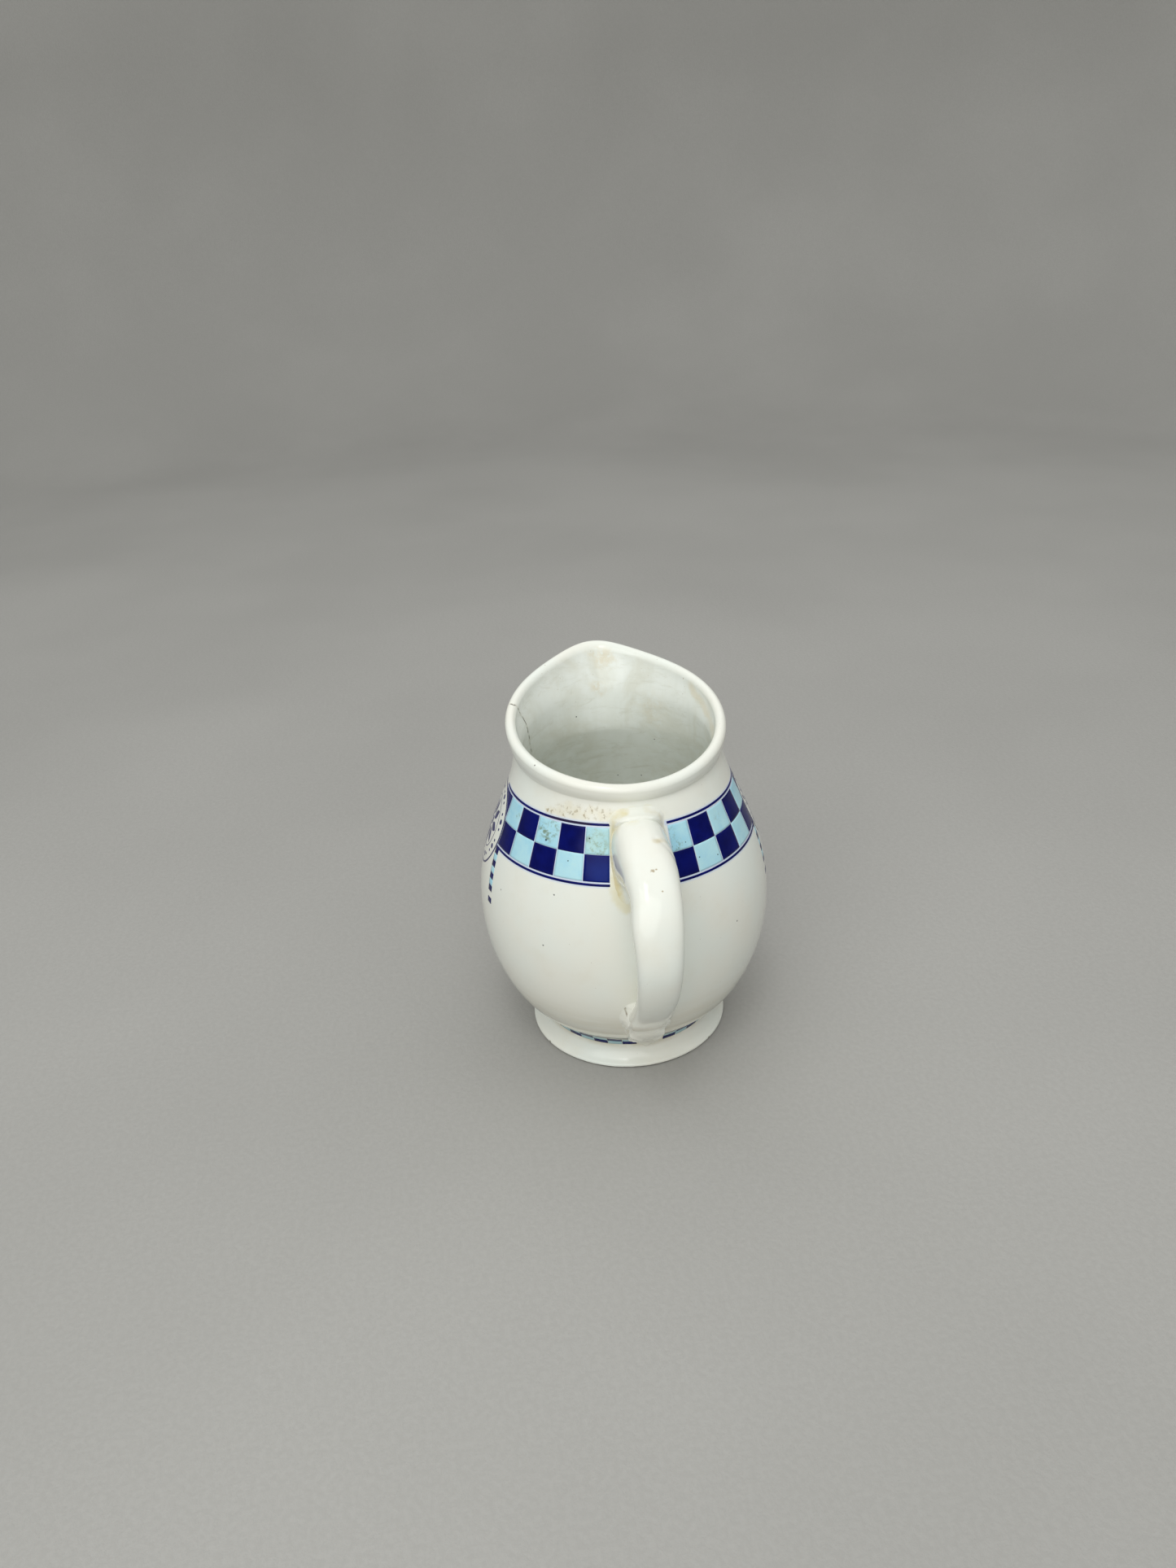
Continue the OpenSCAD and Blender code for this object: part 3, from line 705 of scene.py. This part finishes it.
def smear(name, node, tree, s_range, z_range, step, radius, pad, material, seed):
    """Slip smeared between handle and body: a skin on the body that climbs the handle in a fillet.
    s is the distance to the image's right of the handle's middle, z the height."""
    s = np.arange(s_range[0], s_range[1] + step / 2, step)
    z = np.arange(z_range[0], z_range[1] + step / 2, step)
    ss, zz = np.meshgrid(s, z)
    angle = 180 + np.degrees(ss / profile_r(zz))
    ground = skin_point(zz, angle, 0.0)
    gap = np.zeros(ss.shape)
    for i in range(ss.shape[0]):
        for j in range(ss.shape[1]):
            p = Vector(ground[i, j])
            near, normal, _, far = tree.find_nearest(p)
            gap[i, j] = far if (p - near).dot(normal) > 0 else -far
    r = radius(ss, zz)
    inside = np.clip(r - gap, 0, r)
    height = r - np.sqrt(np.clip(r**2 - inside**2, 0, None))
    thick = pad(ss, zz) + blurred_noise(ss.shape, 9, seed) * 0.02
    border = np.minimum(np.minimum(ss - s[0], s[-1] - ss), np.minimum(zz - z[0], z[-1] - zz))
    height = (np.maximum(height, 0) + thick + 0.15) * ease(border, 0, 2.0) - 0.15
    top = skin_point(zz, angle, height)
    bottom = skin_point(zz, angle, -0.6)
    shell = Shell()
    shell.add(top, bottom)
    return shell.piece(name, node, "glazed_slip", material)


def upper_radius(s, z):
    low = 1 - ease(z, 69, 76)
    high = ease(z, 86, 90)
    return 0.8 + 1.6 * low + 2.4 * high


def upper_pad(s, z):
    edge = np.maximum(np.abs(s) / 8.4, np.abs(z - 79.2) / 13.0)
    corner = ((np.abs(s) / 8.4) ** 4 + (np.abs(z - 79.2) / 13.0) ** 4) ** 0.25
    return -0.12 + 0.26 * (1 - ease(np.maximum(corner, edge * 0.98), 0.88, 1.0))


def lower_radius(s, z):
    return 0.7 + 2.5 * ease(z, 21, 28) * (1 - ease(z, 33, 36.5))


def lower_pad(s, z):
    """The tongue under the handle: a squared slab with a blunt tip and two pressed ridges."""
    tip_left = 0.761 * (s + 5.4) + 0.649 * (z - 15.0)
    tip_right = -0.724 * (s - 5.6) + 0.69 * (z - 12.4)
    away = np.minimum(np.minimum(s + 5.4, 5.6 - s), np.minimum(np.minimum(tip_left, tip_right), z - 8.0))
    slab = (1.3 + 0.8 * (1 - ease(z, 8, 13))) * ease(away, 0, 0.5)
    ridge = 0.42 * np.exp(-(((z - 18.6) + 0.94 * (s + 3.2)) / 0.6) ** 2)
    ridge += 0.38 * np.exp(-(((z - 15.8) + 0.895 * (s + 2.8)) / 0.55) ** 2)
    fade = (slab + ridge * ease(away, 0.1, 0.8)) * (1 - ease(z, 19, 25))
    return np.where(fade < 0.02, -0.12, fade)


# ---- printed films --------------------------------------------------------------------------

FILM, SUNK = 0.02, 0.12
COLUMN = 13.05
BAND_LOW, BAND_HIGH = 72.6, 86.8
LINE_GAP, LINE_W = 0.42, 0.68
MEDAL_R, MEDAL_Z = 13.0, 74.4
MEDAL_ANGLES = (85.0, 275.0)
MEDAL_CLEAR = 0.15


def medal_span(z, angle):
    """Half width, in degrees, of a medallion's field at height z."""
    w = np.sqrt(np.clip((MEDAL_R + MEDAL_CLEAR) ** 2 - (z - MEDAL_Z) ** 2, 0, None))
    return np.degrees(np.arcsin(w / profile_r(z)))


def patch(shell, z0, z1, a0, a1, cut=True, step=0.5):
    """A film between two heights and two angles, cut back where a medallion's field begins."""
    rows = max(2, int(math.ceil((z1 - z0) / step)) + 1)
    z = np.linspace(z0, z1, rows)
    lo, hi = np.full(rows, float(a0)), np.full(rows, float(a1))
    spans = [(lo, hi)]
    if cut:
        for m in MEDAL_ANGLES:
            centre = m - 360 if m - a1 > 180 else m
            w = medal_span(z, m)
            parts = []
            for lo_, hi_ in spans:
                if a0 < centre - 0.01:
                    parts.append((lo_, np.where(w > 0, np.minimum(hi_, centre - w), np.minimum(hi_, centre))))
                if a1 > centre + 0.01:
                    parts.append((np.where(w > 0, np.maximum(lo_, centre + w), np.maximum(lo_, centre)), hi_))
            spans = parts
    for lo_, hi_ in spans:
        ok = hi_ - lo_ > 0.04
        if ok.sum() < 2:
            continue
        # The rows that remain form one run; its end rows sit where the width runs out
        z_, l_, h_ = z[ok], lo_[ok], hi_[ok]
        cols = max(3, int(math.ceil((h_ - l_).max() / 1.0)) + 1)
        f = np.linspace(0, 1, cols)[None, :]
        angle = l_[:, None] + (h_ - l_)[:, None] * f
        zz = np.repeat(z_[:, None], cols, 1)
        shell.add(skin_point(zz, angle, FILM), skin_point(zz, angle, -SUNK))


def check(shell, z0, z1, a0, a1, cut=True, side_gap=0.13, level_gap=0.03):
    turn = math.degrees(side_gap / float(profile_r((z0 + z1) / 2)))
    patch(shell, z0 + level_gap, z1 - level_gap, a0 + turn, a1 - turn, cut)


def make_band(name, edges, up, dark_shade, looks):
    low, high = BAND_LOW + up, BAND_HIGH + up
    middle = (low + high) / 2
    for tone, shade, slot in (("dark", dark_shade, "cobalt_print"), ("light", 1 - dark_shade, "sky_print")):
        shell = Shell()
        for i, (a0, a1) in enumerate(zip(edges[:-1], edges[1:])):
            if (i + shade) % 2 == 0:
                check(shell, low, middle, a0, a1)
            else:
                check(shell, middle, high, a0, a1)
        shell.piece(f"print_{name}_{tone}", f"{name}_{tone}", slot, looks[tone])
    shell = Shell()
    for z0 in (high + LINE_GAP, low - LINE_GAP - LINE_W):
        patch(shell, z0, z0 + LINE_W, edges[0], edges[-1], step=0.3)
    shell.piece(f"print_{name}_lines", f"{name}_lines", "cobalt_print", looks["line"])


def lens(shell, place, half_length, half_width, cols=7):
    """A pointed oval film: place turns (along, across) in millimetres into (x, y) on the medallion."""
    along = half_length * np.sin(np.radians(np.linspace(-88, 88, 15)))
    f = np.linspace(-1, 1, cols)[None, :]
    across = half_width(along)[:, None] * f
    x, y = place(np.repeat(along[:, None], cols, 1), across)
    return x, y


def make_medallion(name, node, centre, side, look):
    shell = Shell()

    def film(x, y, wrap=False):
        zz = MEDAL_Z + y
        angle = centre - side * np.degrees(np.arcsin(x / profile_r(zz)))
        top, bottom = skin_point(zz, angle, FILM), skin_point(zz, angle, -SUNK)
        if side > 0:
            top, bottom = top[:, ::-1], bottom[:, ::-1]
        shell.add(top, bottom, wrap)

    def turned(angle, offset):
        c, s = math.cos(angle), math.sin(angle)
        return lambda u, v: ((offset + u) * c - v * s, (offset + u) * s + v * c)

    ring = np.radians(np.arange(160) * 360 / 160)
    for r1, r0 in ((MEDAL_R, MEDAL_R - 0.6), (7.9 + 0.15, 7.9 - 0.15)):
        radii = np.linspace(r0, r1, 3)[:, None]
        film(radii * np.cos(ring)[None, :], radii * np.sin(ring)[None, :], True)
    for i in range(8):
        a = math.radians(i * 45)
        x, y = lens(shell, turned(a, 4.6), 2.7, lambda v: 1.25 * np.cos(v / 2.7 * math.pi / 2))
        film(x, y)
        for k, (reach, size) in enumerate(((10.3, 0.8), (10.3, 0.45), (10.3, 0.45))):
            b = a + math.radians((22.5, 10.0, 35.0)[k])
            x, y = lens(shell, turned(b, reach), size, lambda v, q=size: np.sqrt(np.clip(q * q - v * v, 1e-4, None)))
            film(x, y)
    x, y = lens(shell, turned(0, 0), 1.2, lambda v: np.sqrt(np.clip(1.44 - v * v, 1e-4, None)))
    film(x, y)
    return shell.piece(name, node, "cobalt_print", look)


# ---- assembly -------------------------------------------------------------------------------

looks = {"dark": cobalt_look(), "light": sky_look(), "line": line_look()}

make_body(body_look())
make_foot(foot_look())
SMEAR = rgb(212, 198, 158)
YELLOW = rgb(226, 216, 172)
handle_look = clay_look(
    "clay_glaze_handle",
    [([(-45.0, -3.4, 88.6), (-43.6, -4.6, 87.6), (-42.6, -6.4, 85.8)], 1.6, 0.75, SMEAR)],
    # The last spot is painted shade: the lower strap darkened to tan
    [(-35.5, 6.4, 87.0, 3.4, 0.5, YELLOW), (-36.0, 2.0, 91.0, 3.0, 0.45, YELLOW), (-42.2, 6.9, 80.0, 2.2, 0.7, rgb(120, 122, 124)), (-43.0, 1.0, 20.0, 14.0, 0.5, rgb(206, 192, 164))],
    [(-54.4, -0.7, 85.1, 0.75), (-54.0, -1.7, 85.3, 0.5), (-59.3, -2.4, 81.7, 0.4)],
)
handle, handle_tree = make_handle(handle_look)
left_seam = [on_skin(a, h) for a, h in ((173.6, 90.8), (169.8, 89.6), (168.6, 83), (168.6, 76), (169.6, 69), (173, 66))]
right_seam = [on_skin(a, h) for a, h in ((184, 91.5), (190.5, 89.5), (191, 82), (190.5, 73), (188, 67))]
upper_look = clay_look(
    "clay_glaze_slip_upper",
    [(left_seam, 2.6, 1.0, YELLOW), (left_seam[1:5], 1.0, 0.5, SMEAR), (right_seam, 1.8, 0.55, SMEAR)],
)
smear("jug_slip_upper", "slip_upper", handle_tree, (-10.6, 10.6), (63.4, 95.0), 0.25, upper_radius, upper_pad, upper_look, 3)
lower_look = clay_look(
    "clay_glaze_slip_lower",
    [
        ([on_skin(a, h) for a, h in ((171.5, 28), (171.5, 22), (173, 17))], 1.6, 0.45, SMEAR),
        # Painted shade: a dark line in the crease along the lower root's left side
        ([on_skin(a, h, 0.3) for a, h in ((170.8, 32.4), (171.9, 29.2), (173, 26.2), (172, 21.1))], 0.55, 0.8, rgb(128, 112, 84)),
    ],
    # The larger spot, under the tongue, is painted shade
    [(*on_skin(188.0, 18.0), 3.0, 0.4, SMEAR), (*on_skin(181.0, 12.0), 8.0, 0.35, rgb(204, 192, 164))],
)
smear("jug_slip_lower", "slip_lower", handle_tree, (-11.0, 11.0), (5.4, 39.0), 0.17, lower_radius, lower_pad, lower_look, 5)

left_edges = [155.6 - i * COLUMN for i in range(5, -1, -1)] + [167.1]
right_edges = [194.6] + [205.3 + i * COLUMN for i in range(6)]
front_edges = [(i - 5.5) * COLUMN for i in range(12)]
make_band("band_left", left_edges, 0.5, 1, looks)
make_band("band_right", right_edges, -0.5, 0, looks)
make_band("band_front", front_edges, 0.0, 0, looks)
make_medallion("print_medallion_left", "medallion_left", MEDAL_ANGLES[0], -1, looks["line"])
make_medallion("print_medallion_right", "medallion_right", MEDAL_ANGLES[1], 1, looks["line"])

for tone, steps, slot in (("dark", (0, 2, 4, 6, 8), "cobalt_print"), ("light", (1, 3, 5), "sky_print")):
    shell = Shell()
    for m in (74.7, -74.7, 115.3, -115.3):
        for i in steps:
            top = 72.2 - 1.94 * i
            lean = math.copysign(0.15 * i, m) * (-1 if abs(m) < 95 else 1)
            mid = 180 + m + lean
            check(shell, top - 1.94, top, mid - 1.75, mid + 1.75, False, 0.05)
    shell.piece(f"print_pendants_{tone}", f"pendants_{tone}", slot, looks[tone])

for tone, shade, slot in (("dark", 0, "cobalt_print"), ("light", 1, "sky_print")):
    shell = Shell()
    for i in range(37):
        a = 193.73 + i * 9.27
        for row, (z0, z1) in enumerate(((6.5, 8.0), (8.0, 9.6))):
            if (i + row) % 2 == shade:
                check(shell, z0, z1, a, a + 9.27, False, 0.06)
    shell.piece(f"print_foot_band_{tone}", f"foot_band_{tone}", slot, looks[tone])

# ---- studio -----------------------------------------------------------------------------------


def make_floor():
    look = Look("studio_floor")
    soft = look.ramp(look.noise(240.0, 3.0, 0.5), 0.3, 0.7)
    grain = look.ramp(look.noise(1.6, 4.0, 0.6), 0.3, 0.7)
    colour = look.mix(soft, rgb(168, 167, 164), rgb(175, 174, 171))
    colour = look.mix(look.times(grain, 0.14), colour, rgb(140, 138, 134))
    look.surface(colour, 0.85)
    look.bump([(grain, 0.05)])
    radius, bend, top = 1000.0, 400.0, 900.0
    section = [(1.0, 0.0), (200.0, 0.0), (500.0, 0.0), (radius, 0.0)]
    for i in range(1, 25):
        a = math.radians(90 * i / 24)
        section.append((radius + bend * math.sin(a), bend * (1 - math.cos(a))))
    section.append((radius + bend, top))
    section = np.array(section)
    t = np.radians(np.arange(96) * 360 / 96)
    x = section[:, 0][:, None] * np.cos(t)
    y = section[:, 0][:, None] * np.sin(t)
    z = np.repeat(section[:, 1][:, None], 96, 1)
    points = np.stack([x, y, z], -1).reshape(-1, 3)
    faces = strip_faces(len(section), 96, flip=True)
    faces.append(tuple(range(96)))
    mesh = bpy.data.meshes.new("studio_floor")
    mesh.from_pydata((points * MM).tolist(), [], [f[::-1] for f in faces])
    mesh.shade_smooth()
    mesh.materials.append(look.material)
    floor = bpy.data.objects.new("studio_floor", mesh)
    bpy.context.scene.collection.objects.link(floor)


def make_light(name, place, aim, size, power, tint=(1, 1, 1)):
    light = bpy.data.lights.new(name, "AREA")
    light.shape = "RECTANGLE"
    light.size, light.size_y = size
    light.energy = power
    light.color = tint
    lamp = bpy.data.objects.new(name, light)
    lamp.location = place
    lamp.rotation_euler = (Vector(aim) - Vector(place)).to_track_quat("-Z", "Y").to_euler()
    bpy.context.scene.collection.objects.link(lamp)


make_floor()
make_light("softbox_top", (0.05, -0.10, 1.15), (0, 0, 0.05), (1.4, 1.4), 3.0, (1.0, 1.0, 0.98))
make_light("softbox_fill", (-0.95, 0.40, 0.80), (0, 0, 0.05), (1.3, 1.3), 9.4, (0.99, 1.0, 0.97))
make_light("ceiling_strip", (-0.55, 0.15, 1.25), (0, 0, 0.05), (0.20, 0.34), 1.2)

world = bpy.data.worlds.new("studio")
world.use_nodes = True
background = next(n for n in world.node_tree.nodes if n.type == "BACKGROUND")
background.inputs["Color"].default_value = (0.99, 1.0, 0.98, 1.0)
background.inputs["Strength"].default_value = 0.6
bpy.context.scene.world = world
bpy.context.scene.view_settings.view_transform = "Standard"

camera = bpy.data.cameras.new("camera")
camera.sensor_width = 36.0
camera.lens = 27.09
camera.clip_start = 0.01
camera.clip_end = 20.0
viewer = bpy.data.objects.new("camera", camera)
bpy.context.scene.collection.objects.link(viewer)
forward = Vector((0.8873, -0.0901, -0.4524)).normalized()
right = Vector((-0.1259, -0.9908, -0.0496))
right = (right - forward * right.dot(forward)).normalized()
up = right.cross(forward)
turn = Matrix((right, up, -forward)).transposed().to_4x4()
viewer.matrix_world = Matrix.Translation((-0.3181, 0.0419, 0.2471)) @ turn
bpy.context.scene.camera = viewer

bpy.context.view_layer.update()
